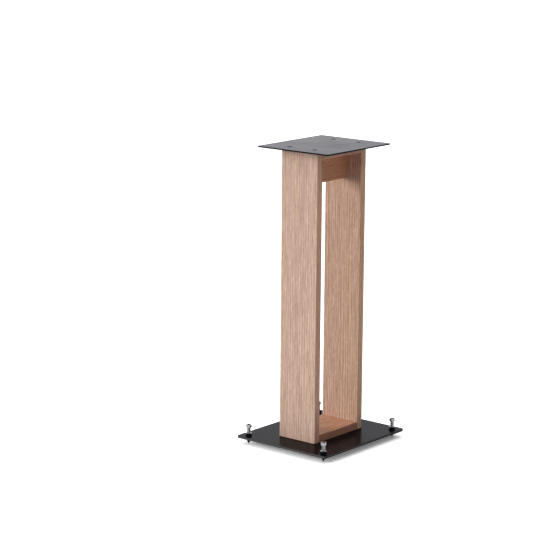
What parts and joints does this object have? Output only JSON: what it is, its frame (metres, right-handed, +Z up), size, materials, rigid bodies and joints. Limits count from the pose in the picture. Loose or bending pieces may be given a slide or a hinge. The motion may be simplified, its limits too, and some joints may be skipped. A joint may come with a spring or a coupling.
{
  "type": "speaker stand",
  "caption": "Floor stand for a loudspeaker: an open wooden column between a small top plate and a larger base plate, on adjustable spikes with lock nuts.",
  "frame": {"origin": "on the floor under the middle of the stand, at the height of the spike tips", "axes": "+Z up; -Y is the front, one of the column's two wide faces; +X is the right side seen from the front, and the column is open along X"},
  "size_m": [0.232, 0.268, 0.621],
  "materials": {
    "oak": "light oak veneer with a fine straight grain, satin lacquer",
    "beech": "bare fluted beech dowel",
    "black_paint": "black semi-gloss paint on flat steel plate",
    "bright_plate": "bright plated steel",
    "black_steel": "black oxide steel"
  },
  "bodies": {
    "stand": {"top_plate": "black_paint", "base_plate": "black_paint", "front_board": "oak", "rear_board": "oak", "top_board": "oak", "bottom_board": "oak", "cross_rail": "oak", "top_screw_front_left": "black_steel", "top_screw_front_right": "black_steel", "top_screw_rear_left": "black_steel", "top_screw_rear_right": "black_steel", "base_screw_front_left": "black_steel", "base_screw_front_right": "black_steel", "base_screw_rear_left": "black_steel", "base_screw_rear_right": "black_steel", "top_dowel_front_left": "beech", "top_dowel_front_right": "beech", "top_dowel_rear_left": "beech", "top_dowel_rear_right": "beech", "bottom_dowel_front_left": "beech", "bottom_dowel_front_right": "beech", "bottom_dowel_rear_left": "beech", "bottom_dowel_rear_right": "beech", "rail_dowel_front_lower": "beech", "rail_dowel_front_upper": "beech", "rail_dowel_rear_lower": "beech", "rail_dowel_rear_upper": "beech"},
    "spike_front_left": {"spike_front_left": "bright_plate"},
    "spike_front_right": {"spike_front_right": "bright_plate"},
    "spike_rear_left": {"spike_rear_left": "bright_plate"},
    "spike_rear_right": {"spike_rear_right": "bright_plate"},
    "lock_nut_front_left": {"lock_nut_front_left": "bright_plate"},
    "lock_nut_front_right": {"lock_nut_front_right": "bright_plate"},
    "lock_nut_rear_left": {"lock_nut_rear_left": "bright_plate"},
    "lock_nut_rear_right": {"lock_nut_rear_right": "bright_plate"}
  },
  "joints": [
    {"name": "spike_front_left_height", "type": "slide", "parent": "stand", "child": "spike_front_left", "axis": [0, 0, 1], "range_m": [-0.008, 0.006]},
    {"name": "spike_front_right_height", "type": "slide", "parent": "stand", "child": "spike_front_right", "axis": [0, 0, 1], "range_m": [-0.008, 0.006]},
    {"name": "spike_rear_left_height", "type": "slide", "parent": "stand", "child": "spike_rear_left", "axis": [0, 0, 1], "range_m": [-0.008, 0.006]},
    {"name": "spike_rear_right_height", "type": "slide", "parent": "stand", "child": "spike_rear_right", "axis": [0, 0, 1], "range_m": [-0.008, 0.006]},
    {"name": "lock_nut_front_left_travel", "type": "slide", "parent": "stand", "child": "lock_nut_front_left", "axis": [0, 0, 1], "range_m": [0, 0.0035]},
    {"name": "lock_nut_front_right_travel", "type": "slide", "parent": "stand", "child": "lock_nut_front_right", "axis": [0, 0, 1], "range_m": [0, 0.0035]},
    {"name": "lock_nut_rear_left_travel", "type": "slide", "parent": "stand", "child": "lock_nut_rear_left", "axis": [0, 0, 1], "range_m": [0, 0.0035]},
    {"name": "lock_nut_rear_right_travel", "type": "slide", "parent": "stand", "child": "lock_nut_rear_right", "axis": [0, 0, 1], "range_m": [0, 0.0035]}
  ]
}
